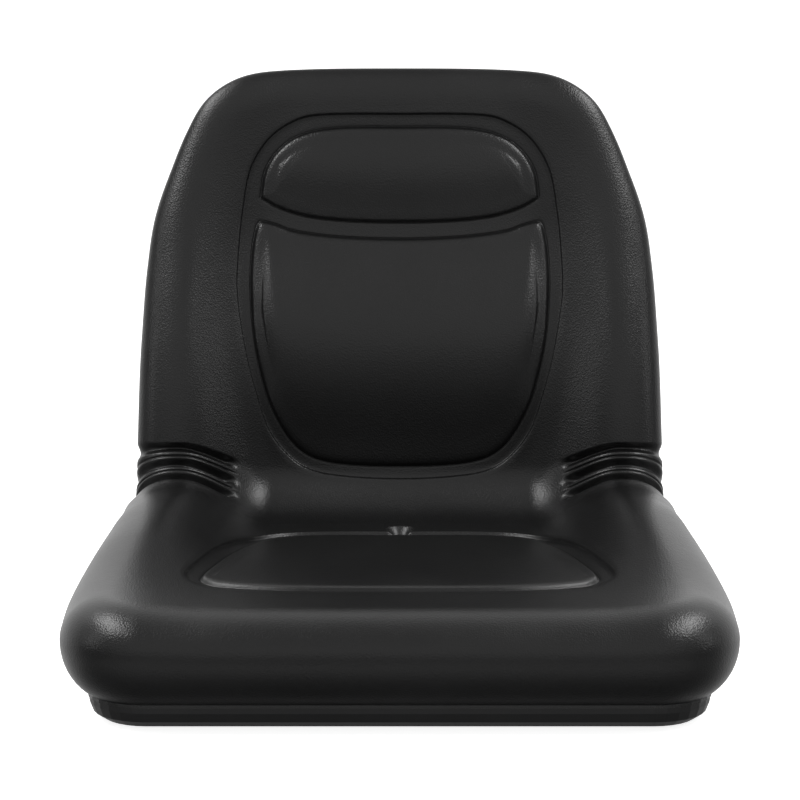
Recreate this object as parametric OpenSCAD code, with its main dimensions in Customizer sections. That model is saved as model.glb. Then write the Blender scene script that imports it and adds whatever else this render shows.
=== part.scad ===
// Utility vehicle seat: a foam cushion with a bonded vinyl skin, moulded on one pressed pan.
// Millimetres. X runs across the seat, Y from front to rear, and Z up.
// The origin is the centre of the main bolt pattern, on the plane that the pan stands on.

/* [Seat cushion] */
// Distance from the front edge to the line where seat and back would meet
crease_depth = 418; // [360:1:460]
// Height of that line
crease_h = 80; // [60:1:110]
// Height of the seat's top where the front roll begins
seat_front_h = 95; // [75:1:120]
// Half width of the seat's flat top, inside its edge roll
seat_half = 221; // [180:1:240]
// Radius of the seat's front corners, inside the edge roll
corner_r = 25; // [20:1:50]
// How far the front edge roll stands out from the flat top
front_roll = 42; // [25:1:50]
// Rise of the side bolsters beside the crease
seat_rise = 36; // [10:1:50]
// Rise of the side bolsters at the front
seat_rise_front = 5; // [0:0.5:15]

/* [Back cushion] */
// Lean of the back from upright, in degrees
back_tilt = 11; // [5:0.5:20]
// Length of the back from the crease to its top edge roll
back_len = 354; // [280:1:400]
// Half width of the back's top face beside the crease
back_half = 190; // [150:1:210]
// Thickness of the back at its middle
back_thick = 42; // [30:1:60]
// Rise of the back's side wings beside the crease
wing_rise = 40; // [10:1:50]
// Rise of the wings at the top
wing_rise_top = 9; // [0:1:25]
// Swell of the lower back towards the sitter
lumbar_rise = 12; // [0:0.5:20]
// Radius of the hollow between seat and back at the middle
hollow_r = 50; // [35:1:70]
// Radius of the same hollow at the sides
hollow_side_r = 40; // [30:1:60]

/* [Moulded panels] */
// Depth of the band that runs round each group of panels
band_depth = 3; // [1:0.1:4]
// Depth of the fine crease at the foot of each panel
panel_crease = 4; // [1.5:0.1:6]
// Crown of the seat panel above its edge
seat_crown = 3; // [0:0.5:8]
// Crown of the low back panel above its edges
low_crown = 5; // [0:0.5:8]
// Crown of the high back panel above its edges
high_crown = 3; // [0:0.5:8]

/* [Side pleats] */
// Depth of the three folds on each side of the hollow
fold_depth = 7; // [3:0.5:10]
// Depth of the fine line along each pleat
pleat_line_depth = 1.6; // [0.5:0.1:3]
// Distance from the middle to the folds' inner ends
pleat_start = 138; // [120:1:160]

/* [Seat pan] */
// Thickness of the pan's sheet
sheet_t = 2; // [1.2:0.1:3]
// Height of the pan's turned-up rim
rim_h = 21; // [15:0.5:30]
// Height of the upright part of the rim
rim_upright = 6; // [5:0.5:10]
// Width of the rounded foot of the rim
rim_round = 22; // [12:0.5:30]
// Radius of the pan's bend under the back
pan_bend_r = 60; // [45:1:80]
// Depth of the stiffening fields pressed into the pan
field_press = 4; // [0:0.5:6]
// Size of the seat's pressed field, as a share of the flat around it
seat_field = 0.55; // [0.4:0.01:0.7]
// Size of the back's pressed field, as a share of the flat around it
back_field = 0.74; // [0.4:0.01:0.85]
// Thickness of the trim that grips the rim
trim_t = 1.2; // [0.8:0.1:2]
// Length of the trim's outer lip below the rim's edge
trim_lip = 1.5; // [1:0.1:4]

/* [Mounting] */
// Distance from the front edge to the centre of the main bolt pattern
pattern_setback = 223; // [200:1:250]
// Spacing of the mounting nuts across the seat
nut_spacing_x = 285.75; // [200:0.05:320]
// Spacing from the front nuts to the first rear nuts
nut_spacing_y = 266.7; // [200:0.05:300]
// Spacing from the front nuts to the second rear nuts
nut_spacing_y2 = 292.1; // [220:0.05:320]
// Bore of each mounting nut, before its thread
nut_bore = 6.8; // [5:0.1:10]
// Body diameter of each mounting nut
nut_body_d = 12.5; // [10:0.1:16]
// Head diameter of each mounting nut
nut_head_d = 17; // [14:0.1:22]
// Height of each nut's body above the pan's sheet
nut_body_h = 9; // [6:0.5:14]
// Room left in the foam above each nut for the end of its bolt
bolt_room = 14; // [5:0.5:20]

/* [Drain] */
// Distance from the front edge to the drain
drain_depth = 359; // [330:1:380]
// Outer diameter of the drain tube
drain_d = 9; // [6:0.5:12]
// Bore of the drain tube
drain_bore = 5; // [3:0.5:8]

/* [Hidden] */
$fn = 48;

vinyl_black = "#1b1b1c";
pan_black = "#161617";
plated = "#b9bcc0";

// Slope of the seat, and the turn of the hollow between seat and back
seat_tilt = atan((seat_front_h - crease_h) / (crease_depth - front_roll));
turn = 90 - back_tilt + seat_tilt;
along_seat = [cos(seat_tilt), -sin(seat_tilt)];
along_back = [sin(back_tilt), cos(back_tilt)];
off_seat = [sin(seat_tilt), cos(seat_tilt)];
off_back = [-cos(back_tilt), sin(back_tilt)];
crease = [crease_depth, crease_h];

// Where the bolsters' inner foot and outer crest lie: share of the length, then half width
seat_foot = [[0, 150], [0.6, 125], [1, 108]];
seat_crest = [[0, 232], [0.5, 212], [1, 187]];
wing_foot = [[0, 108], [0.4, 125], [1, 84]];
wing_crest = [[0, 187], [0.5, 184], [0.8, 176], [1, 160]];

// Small helpers
function ease(t) = let (u = min(1, max(0, t))) u * u * (3 - 2 * u);
function mix(a, b, t) = t == 0 ? a : t == 1 ? b : a + (b - a) * t;
function unit(v) = v / norm(v);
function last(list) = list[len(list) - 1];
function bump(u) = abs(u) < 1 ? (1 + cos(180 * u)) / 2 : 0;
function total(list, i = 0) = i < len(list) ? list[i] + total(list, i + 1) : 0;
function flipped(list) = [for (i = [len(list) - 1:-1:0]) list[i]];
function tail(list) = [for (i = [1:len(list) - 1]) list[i]];

// A smooth curve through points given as [position, value]
function chord(p, i) = (p[i + 1][1] - p[i][1]) / (p[i + 1][0] - p[i][0]);
function grade(p, i) =
    i == 0 ? chord(p, 0) :
    i == len(p) - 1 ? chord(p, i - 1) :
    let (a = chord(p, i - 1), b = chord(p, i)) a * b <= 0 ? 0 : 2 * a * b / (a + b);
function curve(p, x) =
    let (n = len(p), u = min(p[n - 1][0], max(p[0][0], x)),
         i = min(n - 2, max(0, len([for (q = p) if (q[0] <= u) 1]) - 1)),
         h = p[i + 1][0] - p[i][0], t = (u - p[i][0]) / h, w = 1 - t)
    p[i][1] * (1 + 2 * t) * w * w + grade(p, i) * h * t * w * w
    + p[i + 1][1] * t * t * (3 - 2 * t) - grade(p, i + 1) * h * t * t * w;

// A smooth path through points, as samples, with path_steps samples between two points
path_steps = 12;
function mirrored(p) = [-p[0], p[1]];
function heading(p, i) =
    let (before = i > 0 ? p[i - 1] : p[0][0] == 0 ? mirrored(p[1]) : p[0],
         after = i < len(p) - 1 ? p[i + 1] : last(p)[0] == 0 ? mirrored(p[len(p) - 2]) : last(p))
    (after - before) / (norm(after - p[i]) + norm(p[i] - before));
function path(p) = [
    for (i = [0:len(p) - 2])
        let (h = norm(p[i + 1] - p[i]), a = heading(p, i) * h, b = heading(p, i + 1) * h)
        for (k = [0:path_steps - 1]) let (t = k / path_steps, w = 1 - t)
            p[i] * (1 + 2 * t) * w * w + a * t * w * w
            + p[i + 1] * t * t * (3 - 2 * t) - b * t * t * w,
    last(p)];
// The same path cut at some of its points and shared into equal steps between them
function lengths(p) = [
    for (i = 0, d = 0; i < len(p); i = i + 1, d = i < len(p) ? d + norm(p[i] - p[i - 1]) : d) d];
function even(p, n) =
    let (d = lengths(p), xs = [for (i = [0:len(p) - 1]) [d[i], p[i][0]]],
         ys = [for (i = [0:len(p) - 1]) [d[i], p[i][1]]])
    [for (k = [0:n]) let (at = last(d) * k / n)
        k == 0 ? p[0] : k == n ? last(p) : [lookup(at, xs), lookup(at, ys)]];
function part_of(list, from, to) = [for (i = [from:to]) list[i]];
function stations(points, cuts, counts) =
    let (p = path(points))
    [p[0], for (j = [0:len(counts) - 1])
        each tail(even(part_of(p, cuts[j] * path_steps, cuts[j + 1] * path_steps), counts[j]))];
// A path with one sharp corner, shared into two runs of steps
function cornered(points, corner, counts) = concat(
    even(path(part_of(points, 0, corner)), counts[0]),
    tail(even(path(part_of(points, corner, len(points) - 1)), counts[1])));

// The cushion's top is swept across columns. A column runs up the seat (v from 0 to 1),
// round the hollow (1 to 2) and up the back (2 to 3).
function side_rise(x, q) =
    (seat_rise_front + (seat_rise - seat_rise_front) * ease(q))
    * ease((abs(x) - curve(seat_foot, q)) / (curve(seat_crest, q) - curve(seat_foot, q)));
function wing(x, c) =
    (wing_rise + (wing_rise_top - wing_rise) * ease(c))
    * ease((abs(x) - curve(wing_foot, c)) / (curve(wing_crest, c) - curve(wing_foot, c)));
function bend_r(x) =
    hollow_r + (hollow_side_r - hollow_r)
    * ease((abs(x) - last(seat_foot)[1]) / (last(seat_crest)[1] - last(seat_foot)[1]));
// The point where a column's seat and back lines would meet
function meet(x) =
    let (s = crease + [0, side_rise(x, 1)], p = crease + off_back * wing(x, 0))
    s + along_seat * cross(p - s, along_back) / cross(along_seat, along_back);
function reach(x) = bend_r(x) * tan(turn / 2);
function seat_end(x) = meet(x)[0] - reach(x) * along_seat[0];
function back_start(x) = (meet(x) - crease) * along_back + reach(x);
function seat_point(x, v) =
    let (y = mix(front_roll, seat_end(x), v))
    [x, y, crease_h - (y - crease_depth) * tan(seat_tilt) + side_rise(x, v)];
function bend_point(x, v) =
    let (r = bend_r(x), a = (v - 1) * turn,
         centre = meet(x) - along_seat * reach(x) + off_seat * r,
         p = centre + r * (along_seat * sin(a) - off_seat * cos(a)))
    [x, p[0], p[1]];
function back_point(x, v) =
    let (t = mix(back_start(x), back_len, v - 2), p = crease + along_back * t + off_back * wing(x, v - 2))
    [x, p[0], p[1]];
function top(x, v) = v <= 1 ? seat_point(x, v) : v <= 2 ? bend_point(x, v) : back_point(x, v);
function top_normal(x, v) =
    unit(cross(top(x + 0.5, v) - top(x - 0.5, v), top(x, v + 0.002) - top(x, v - 0.002)));

// Depth of the side pleats: three folds, with a fine line along each of the two pleats between
folds = [0.42, 0.66, 0.90];
fold_w = 0.08;
line_after = 0.115;
line_w = 0.022;
pleat_lines = [folds[0] + line_after, folds[1] + line_after];
pleat_fade = 9;
function pleat(x, v) = v <= 1 || v >= 2 ? 0 :
    -ease((abs(x) - pleat_start) / pleat_fade)
    * (fold_depth * total([for (c = folds) bump((v - 1 - c) / fold_w)])
       + pleat_line_depth * total([for (c = pleat_lines) bump((v - 1 - c) / line_w)]));

// Places on the flat pattern of the middle column: distance along it, turned into v and back
seat_len = (seat_end(0) - front_roll) / cos(seat_tilt);
hollow_len = hollow_r * turn * PI / 180;
back_run = back_len - back_start(0);
function v_of(s) =
    s < seat_len ? s / seat_len :
    s < seat_len + hollow_len ? 1 + (s - seat_len) / hollow_len :
    2 + (s - seat_len - hollow_len) / back_run;
function s_of(v) =
    v < 1 ? seat_len * v : v < 2 ? seat_len + hollow_len * (v - 1) :
    seat_len + hollow_len + back_run * (v - 2);

// Swell of the lower back, which fades out on the wings
lumbar_at = 66;
lumbar_half = 110;
lumbar_edge = 105;
lumbar_fade = 70;
function lumbar(x, v) =
    lumbar_rise * bump((s_of(v) - seat_len - hollow_len - lumbar_at) / lumbar_half)
    * (1 - ease((abs(x) - lumbar_edge) / lumbar_fade));
function skin(x, v, lift = 0) = top(x, v) + top_normal(x, v) * (lift + pleat(x, v) + lumbar(x, v));
function on_skin(p, lift = 0) = skin(p[0], v_of(p[1]), lift);

// Outer edge of the cushion's top face, right half, as [x, v]
front_n = 8;
corner_n = 7;
side_n = 9;
back_side_n = 9;
back_corner_n = 10;
top_n = 5;
seat_side = [[seat_half, front_roll + corner_r], [220.5, 110], [217, 150], [209, 209],
             [203, 245], [196.5, 281], [192.5, 316], [back_half, seat_end(back_half)]];
back_side = [[back_half, back_start(back_half)], [188, 150], [181, 236], [163, 292], [152.5, 318],
             [142, 336], [124, 347.5], [97, 352], [62, 353.6], [0, back_len]];
function seat_v(p) = [p[0], (p[1] - front_roll) / (seat_end(p[0]) - front_roll)];
function back_v(p) = [p[0], 2 + (p[1] - back_start(p[0])) / (back_len - back_start(p[0]))];
front_edge = [for (k = [0:front_n]) [(seat_half - corner_r) * k / front_n, 0]];
corner_edge = [for (k = [1:corner_n]) let (a = 90 * k / corner_n)
    seat_v([seat_half - corner_r + corner_r * sin(a), front_roll + corner_r * (1 - cos(a))])];
side_edge = [for (p = tail(stations(seat_side, [0, 7], [side_n]))) seat_v(p)];
seat_edge = concat(front_edge, corner_edge, side_edge);
fold_rows = [0, 0.07, line_after, 0.14, 0.18];
bend_rows = [0, 0.2, 0.34, for (c = [folds[0], folds[1]]) each [for (r = fold_rows) c + r],
             folds[2], 0.96, 1];
bend_edge = [for (b = bend_rows) [back_half, 1 + b]];
back_edge = [for (p = stations(back_side, [0, 3, 7, 9], [back_side_n, back_corner_n, top_n])) back_v(p)];
edge = concat(seat_edge, tail(bend_edge), tail(back_edge));

// Frame at each station of the edge: point, outward direction and normal
edge_p = [for (e = edge) top(e[0], e[1])];
function flip_x(p) = len(p) == 2 ? [-p[0], p[1]] : [-p[0], p[1], p[2]];
function way(list, i) =
    let (before = i == 0 ? flip_x(list[1]) : list[i - 1],
         after = i == len(list) - 1 ? flip_x(list[i - 1]) : list[i + 1])
    unit(unit(after - list[i]) + unit(list[i] - before));
edge_n = [for (e = edge) top_normal(e[0], e[1])];
edge_out = [for (i = [0:len(edge) - 1]) unit(cross(way(edge_p, i), edge_n[i]))];

// The pan's profile: flat under the seat, a bend, then flat behind the back. p runs along it.
pan_turn = 90 - back_tilt;
pan_reach = pan_bend_r * tan(pan_turn / 2);
pan_foot = crease - off_back * back_thick;
// The pan's back stands back_thick behind the crease, or further back where the nuts need its flat
nut_bend_clear = 5;
nuts_end = pattern_setback - nut_spacing_y / 2 + max(nut_spacing_y, nut_spacing_y2) + nut_head_d / 2;
pan_corner = [max(pan_foot[0] - along_back[0] * pan_foot[1] / along_back[1],
                  nuts_end + nut_bend_clear + pan_reach), 0];
bend_from = pan_corner[0] - pan_reach;
bend_to = bend_from + pan_bend_r * pan_turn * PI / 180;
function pan_angle(p) = min(pan_turn, max(0, (p - bend_from) / pan_bend_r * 180 / PI));
function pan_line(p) =
    p <= bend_from ? [p, 0] :
    p < bend_to ? [bend_from + pan_bend_r * sin(pan_angle(p)), pan_bend_r * (1 - cos(pan_angle(p)))] :
    pan_corner + along_back * (pan_reach + p - bend_to);
function pan_p(t) = bend_to + t - (pan_corner - crease) * along_back - pan_reach;
// A place on the pan: across, along its profile, and up from its outer face
function pan_at(q, h) =
    let (a = pan_angle(q[1]), l = pan_line(q[1]))
    [q[0], l[0] - h * sin(a), l[1] + h * cos(a)];

// The edge's stations set out on the pan
pan_seat_end = top(back_half, 1)[1];
pan_back_start = pan_p(back_start(back_half));
function height_on_back(p) = ([p[1], p[2]] - crease) * along_back;
edge_q = [for (i = [0:len(edge) - 1]) let (v = edge[i][1], p = edge_p[i])
    [p[0], v <= 1 ? p[1] : v < 2 ? mix(pan_seat_end, pan_back_start, v - 1) : pan_p(height_on_back(p))]];
edge_qout = [for (i = [0:len(edge) - 1]) let (d = way(edge_q, i)) [d[1], -d[0]]];
rim_out = [for (e = edge) curve([[0, 20], [0.25, 22], [1, 20], [2, 18], [3, 16]], e[1])];
// Half loop at a distance inside the rim's outer face and a height above the pan's outer face
function rim_loop(inset, h) = [for (i = [0:len(edge) - 1])
    pan_at(edge_q[i] + edge_qout[i] * (rim_out[i] - inset), h)];

// Edge roll of the cushion, from its top face round to the rim
roll_out = [for (e = edge)
    curve([[0, front_roll], [0.7, 41.5], [0.9, 43], [1.05, 43.5], [1.25, 39], [1.4, 35], [2, 34], [3, 30]],
          e[1])];
roll_widest = [for (e = edge)
    curve([[0, 0.48], [0.5, 0.36], [1, 0.28], [1.5, 0.3], [2, 0.38], [3, 0.45]], e[1])];
pleat_at_side = 0.4;
roll_upper_n = 5;
roll_lower_n = 3;
tuck_angle = 60;
trim_top = rim_h + trim_t;
roll_foot = rim_loop(-trim_t, trim_top);
roll_drop = [for (i = [0:len(edge) - 1])
    let (d = roll_foot[i] - edge_p[i]) d - edge_out[i] * (d * edge_out[i])];
roll_end = [for (i = [0:len(edge) - 1]) (roll_foot[i] - edge_p[i]) * edge_out[i]];
function upper_roll(i, a) =
    edge_p[i] + edge_out[i] * roll_out[i] * sin(a) + roll_drop[i] * roll_widest[i] * (1 - cos(a))
    + (edge_n[i] * cos(a) + edge_out[i] * sin(a)) * pleat(edge[i][0], edge[i][1])
    * mix(1, pleat_at_side, a / 90);
function lower_roll(i, a) =
    let (share = (1 - cos(a)) / (1 - cos(tuck_angle)))
    edge_p[i] + edge_out[i] * mix(roll_out[i], roll_end[i], share)
    + roll_drop[i] * mix(roll_widest[i], 1, sin(a) / sin(tuck_angle))
    + edge_out[i] * pleat(edge[i][0], edge[i][1]) * pleat_at_side * (1 - share);
roll_loops = [
    for (k = [0:roll_upper_n]) [for (i = [0:len(edge) - 1]) upper_roll(i, 90 * k / roll_upper_n)],
    for (k = [1:roll_lower_n - 1])
        [for (i = [0:len(edge) - 1]) lower_roll(i, tuck_angle * k / roll_lower_n)],
    roll_foot];

// Meshes are made for the right half as triangles, wound so that the outside is on the left
function solid_tri(a, b, c) = a == b || b == c || a == c ? [] : [[a, b, c]];
function quad(a, b, c, d) = norm(a - c) <= norm(b - d)
    ? concat(solid_tri(a, b, c), solid_tri(a, c, d))
    : concat(solid_tri(a, b, d), solid_tri(b, c, d));
function strip(a, b) = [for (i = [0:len(a) - 2]) each quad(a[i], a[i + 1], b[i + 1], b[i])];
function strips(loops) = [for (k = [0:len(loops) - 2]) each strip(loops[k], loops[k + 1])];
module mesh(half) {
    tris = concat(half, [for (t = half) [flip_x(t[0]), flip_x(t[2]), flip_x(t[1])]]);
    polyhedron(points = [for (t = tris) each t],
               faces = [for (i = [0:len(tris) - 1]) [3 * i, 3 * i + 2, 3 * i + 1]], convexity = 10);
}

// A closed outline moved outward by a distance, its corners kept, given its right half
function offset_half(p, d) = [for (i = [0:len(p) - 1])
    let (before = i == 0 ? mirrored(p[1]) : p[i - 1],
         after = i == len(p) - 1 ? mirrored(p[i - 1]) : p[i + 1],
         a = unit(p[i] - before), b = unit(after - p[i]), w = unit(a + b),
         grow = d / max(0.5, w * a), q = p[i] + [w[1], -w[0]] * grow)
    p[i][0] == 0 ? [0, q[1]] : q];
function lifted(p, lift) = [for (q = p) on_skin(q, lift)];

// The inside of a panel: its rounded shoulder, then a crowned fill between its two halves
panel_steps = [[0, -panel_crease], [2.2, -0.6], [5, 0.6], [11, 1.4]];
fill_rows = 6;
function crowned(p, i, j, rise) =
    let (m = (len(p) - 1) / 2, s = j / fill_rows, f = 1 - pow(i / m, 3))
    on_skin(mix(p[i], p[len(p) - 1 - i], s), last(panel_steps)[1] + rise * 4 * s * (1 - s) * f);
function fill(p, rise) =
    let (m = (len(p) - 1) / 2)
    strips([for (j = [0:fill_rows]) [for (i = [0:m]) crowned(p, i, j, rise)]]);
function panel(p, rise) = concat(
    strips([for (s = panel_steps) lifted(offset_half(p, -s[0]), s[1])]),
    fill(offset_half(p, -last(panel_steps)[0]), rise));

// Columns of the hollow's grid, and its upper limit, which dips under the back's panels
hollow_x = [0, 22, 44, 66, 88, 108, 126, pleat_start, pleat_start + 7, pleat_start + 16,
            pleat_start + 27, pleat_start + 39, back_half];
dip_edge = 98;
dip_fade = 38;
function hollow_v(x) = 1 + (0.5 + 0.5 * ease((x - dip_edge) / dip_fade));
hollow_low = [for (x = hollow_x) [x, 1]];
hollow_high = [for (x = hollow_x) [x, hollow_v(x)]];
hollow_grid = [for (b = bend_rows) [for (x = hollow_x) skin(x, mix(1, hollow_v(x), b))]];

// Ring between an outer boundary and an outline on the flat pattern, drawn in over some steps
ring_shares = [0, 0.35, 0.72];
function as_xv(p) = [for (q = p) [q[0], v_of(q[1])]];
function ring(outer, inner) = [for (s = ring_shares) [for (i = [0:len(outer) - 1])
    let (e = mix(outer[i], inner[i], s)) skin(e[0], e[1])]];
shoulder = 2.5;

// Seat panel: outline of its band, from the front middle round to the rear middle
seat_outline = [[0, 58.5], [78, 60.5], [118, 67.5], [148, 81], [164, 96], [169, 114], [158, 175],
                [143, 232], [125, 270], [98, 293], [62, 300], [0, 300]];
seat_boundary = concat(seat_edge, flipped(part_of(hollow_low, 0, len(hollow_x) - 2)));
seat_band_n = len(seat_boundary) - 1;
seat_band = stations(seat_outline, [0, 5, 11], [seat_band_n / 2, seat_band_n / 2]);
band_w = 11;
function seat_area() =
    let (outer = offset_half(seat_band, shoulder), inner = offset_half(seat_band, -band_w))
    concat(strips(concat(ring(seat_boundary, as_xv(outer)),
                         [lifted(outer, 0), lifted(seat_band, -band_depth),
                          lifted(inner, -panel_crease)])),
           panel(inner, seat_crown));

// Back panels: one band round both, a low panel and a high panel with a bar of the band between
group_outline = [[0, 394], [50, 396.5], [80, 403], [100, 419], [112, 437], [123, 462], [132, 489],
                 [137.5, 522], [139.5, 550], [138, 575], [132.5, 626], [126, 659], [110, 685],
                 [87, 700], [66, 704], [0, 704.5]];
bar_line = [[0, 605.5], [60, 607.5], [92, 613], [112, 619.5], [132.5, 626]];
low_outline = [[0, 403], [50, 405], [76, 411], [92, 423], [105, 443], [115, 466], [125.5, 510],
               [129, 552], [127.5, 580], [124, 603], [120, 613], [112, 613.5], [97, 607.5], [76, 603.5],
               [46, 600.5], [0, 599]];
high_outline = [[0, 612], [50, 613.5], [84, 618], [106, 625.5], [119, 633], [116, 655],
                [106, 673], [88, 687], [58, 694], [0, 695]];
bar_n = 9;
low_n = 19;
back_boundary = concat(hollow_high, tail(back_edge));
group_n = len(back_boundary) - 1;
high_n = group_n - low_n;
group = stations(group_outline, [0, 10, 15], [low_n, high_n]);
bar = stations(bar_line, [0, 4], [bar_n]);
low_loop = concat([for (i = [0:low_n]) group[i]], tail(flipped(bar)));
high_loop = concat(bar, [for (i = [low_n + 1:group_n]) group[i]]);
low_panel = stations(low_outline, [0, 10, 15], [low_n, bar_n]);
high_panel = cornered(high_outline, 4, [bar_n, high_n]);
function back_area() =
    let (outer = offset_half(group, shoulder))
    concat(strips(concat(ring(back_boundary, as_xv(outer)),
                         [lifted(outer, 0), lifted(group, -band_depth)])),
           strip(lifted(low_loop, -band_depth), lifted(low_panel, -panel_crease)),
           panel(low_panel, low_crown),
           strip(lifted(high_loop, -band_depth), lifted(high_panel, -panel_crease)),
           panel(high_panel, high_crown));

// Rim sections, from the top of the rim down to the flat of the pan
foot_n = 3;
rim_foot_h = rim_h - rim_upright;
outer_section = [[0, rim_h], for (k = [0:foot_n]) let (a = 90 * k / foot_n)
    [rim_round * (1 - cos(a)), rim_foot_h * (1 - sin(a))]];
inner_section = [[sheet_t, rim_h], for (k = [0:foot_n]) let (a = 90 * k / foot_n)
    [sheet_t + (rim_round - sheet_t) * (1 - cos(a)), sheet_t + (rim_foot_h - sheet_t) * (1 - sin(a))]];
trim_inner = sheet_t + trim_t;
// The trim's section runs round its U clockwise, from the foot of the outer lip
trim_section = [[-trim_t, rim_h - trim_lip], [-trim_t, trim_top], [trim_inner, trim_top],
                [trim_inner, rim_foot_h], [sheet_t, rim_foot_h], [sheet_t, rim_h], [0, rim_h],
                [0, rim_h - trim_lip]];
function loops(section) = [for (s = section) rim_loop(s[0], s[1])];
// The foam's underside follows the trim's inner leg and then the pan's inner face
cushion_foot = loops(concat([[trim_inner, trim_top], [trim_inner, rim_foot_h]], tail(inner_section)));

// The pan's two flats and its bend, closed inside the last loop of a section
flat_to = len([for (q = edge_q) if (q[1] <= bend_from) 1]) - 1;
back_from = len([for (q = edge_q) if (q[1] < bend_to) 1]);
function middle(p) = [0, p[1], p[2]];
function fan(centre, list) = [for (i = [0:len(list) - 2]) [centre, list[i], list[i + 1]]];
// A flat with a field pressed in at its middle, its outline the flat's own on a smaller scale
function flat(list, up, share) =
    let (centre = middle((list[0] + last(list)) / 2), press = up * field_press,
         outer = [for (p = list) mix(centre, p, share)],
         inner = [for (p = list) mix(centre, p, share * 0.95) + press])
    concat(strips([list, outer, inner]), fan(centre + press, inner));
function floor_of(loop) =
    let (low = part_of(loop, 0, flat_to), high = part_of(loop, back_from, len(loop) - 1))
    concat(flat(concat(low, [middle(last(low))]), [0, 0, 1], seat_field),
           flat(concat([middle(high[0])], high), [0, off_back[0], off_back[1]], back_field),
           [for (i = [flat_to:back_from - 1])
               each quad(middle(loop[i]), loop[i], loop[i + 1], middle(loop[i + 1]))]);
function turned(tris) = [for (t = tris) [t[0], t[2], t[1]]];

// Holes and hardware along Z: six nuts and the drain
nut_head_t = 1.6;
nut_top = sheet_t + nut_body_h;
foam_clear = 0.5;
front_nuts = -nut_spacing_y / 2;
rear_nuts = nut_spacing_y / 2;
outer_nuts = front_nuts + nut_spacing_y2;
nut_places = [for (y = [front_nuts, rear_nuts, outer_nuts]) for (side = [-1, 1])
    [side * nut_spacing_x / 2, y]];
drain_y = drain_depth - pattern_setback;
drain_top = top(0, (drain_depth - front_roll) / (seat_end(0) - front_roll))[2];
dimple_depth = 8;
dimple_r = 13;
dimple_floor_r = 4;
tube_top = drain_top - dimple_depth + 1.5;
// Side of the dimple round the drain, from its floor up to its rim
dimple_side = [for (k = [0:8]) let (s = k / 8)
    [mix(dimple_floor_r, dimple_r, s), drain_top - dimple_depth * (1 - ease(s))]];

module cushion() color(vinyl_black) difference() {
    translate([0, -pattern_setback, 0])
        mesh(concat(seat_area(), strips(hollow_grid), back_area(),
                    strips(flipped(concat(roll_loops, cushion_foot))),
                    turned(floor_of(last(cushion_foot)))));
    for (at = nut_places) translate([at[0], at[1], sheet_t - 1]) {
        cylinder(d = nut_head_d + 2 * foam_clear, h = nut_top + foam_clear - sheet_t + 1);
        cylinder(d = nut_body_d, h = nut_top + bolt_room - sheet_t + 1);
    }
    translate([0, drain_y, 0]) {
        translate([0, 0, sheet_t - 1]) cylinder(d = drain_d, h = drain_top);
        rotate_extrude() polygon(concat([[0, drain_top + 6], [0, drain_top - dimple_depth]], dimple_side,
                                        [[dimple_r, drain_top + 6]]));
    }
}

module seat_pan() color(pan_black) difference() {
    translate([0, -pattern_setback, 0])
        mesh(concat(strips(concat(flipped(loops(outer_section)), loops(inner_section))),
                    floor_of(last(loops(inner_section))), turned(floor_of(last(loops(outer_section))))));
    for (at = nut_places) translate([at[0], at[1], -1])
        cylinder(d = nut_body_d, h = sheet_t + 2);
    translate([0, drain_y, -1]) cylinder(d = drain_d, h = sheet_t + 2);
}

module edge_trim() color(vinyl_black) translate([0, -pattern_setback, 0])
    mesh(let (l = loops(trim_section)) strips(concat(l, [l[0]])));

module drain_tube() color(pan_black) translate([0, drain_y, 0]) difference() {
    cylinder(d = drain_d, h = tube_top);
    translate([0, 0, -1]) cylinder(d = drain_bore, h = tube_top + 2);
}

// Mounting nut: a shank pressed into the pan, level with its outer face, and a body inside
module nut(i) color(plated) translate([nut_places[i][0], nut_places[i][1], 0]) difference() {
    union() {
        cylinder(d = nut_body_d, h = nut_top);
        translate([0, 0, sheet_t]) cylinder(d = nut_head_d, h = nut_head_t);
    }
    translate([0, 0, -1]) cylinder(d = nut_bore, h = nut_top + 2);
}
module nut_front_left() nut(0);
module nut_front_right() nut(1);
module nut_rear_left() nut(2);
module nut_rear_right() nut(3);
module nut_outer_left() nut(4);
module nut_outer_right() nut(5);

cushion();
seat_pan();
edge_trim();
drain_tube();
nut_front_left();
nut_front_right();
nut_rear_left();
nut_rear_right();
nut_outer_left();
nut_outer_right();
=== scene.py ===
# The utility vehicle seat's looks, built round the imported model.
# The shape functions work in millimetres, with Y measured back from the front edge. Pieces are in metres.
import math

import bmesh
import bpy
import numpy as np
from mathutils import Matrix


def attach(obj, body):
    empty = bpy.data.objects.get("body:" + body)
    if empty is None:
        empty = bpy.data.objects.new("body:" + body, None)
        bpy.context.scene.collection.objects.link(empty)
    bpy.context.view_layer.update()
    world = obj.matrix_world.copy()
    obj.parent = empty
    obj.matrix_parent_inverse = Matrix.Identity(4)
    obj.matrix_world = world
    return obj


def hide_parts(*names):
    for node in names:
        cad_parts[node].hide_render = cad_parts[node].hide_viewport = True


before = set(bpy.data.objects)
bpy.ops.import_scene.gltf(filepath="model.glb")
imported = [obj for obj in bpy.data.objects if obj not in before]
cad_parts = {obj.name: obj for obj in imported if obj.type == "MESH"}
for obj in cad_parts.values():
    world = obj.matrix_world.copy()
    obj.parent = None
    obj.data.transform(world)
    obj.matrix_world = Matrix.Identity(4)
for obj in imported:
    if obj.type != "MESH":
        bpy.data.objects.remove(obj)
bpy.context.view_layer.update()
MM = 0.001

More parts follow.
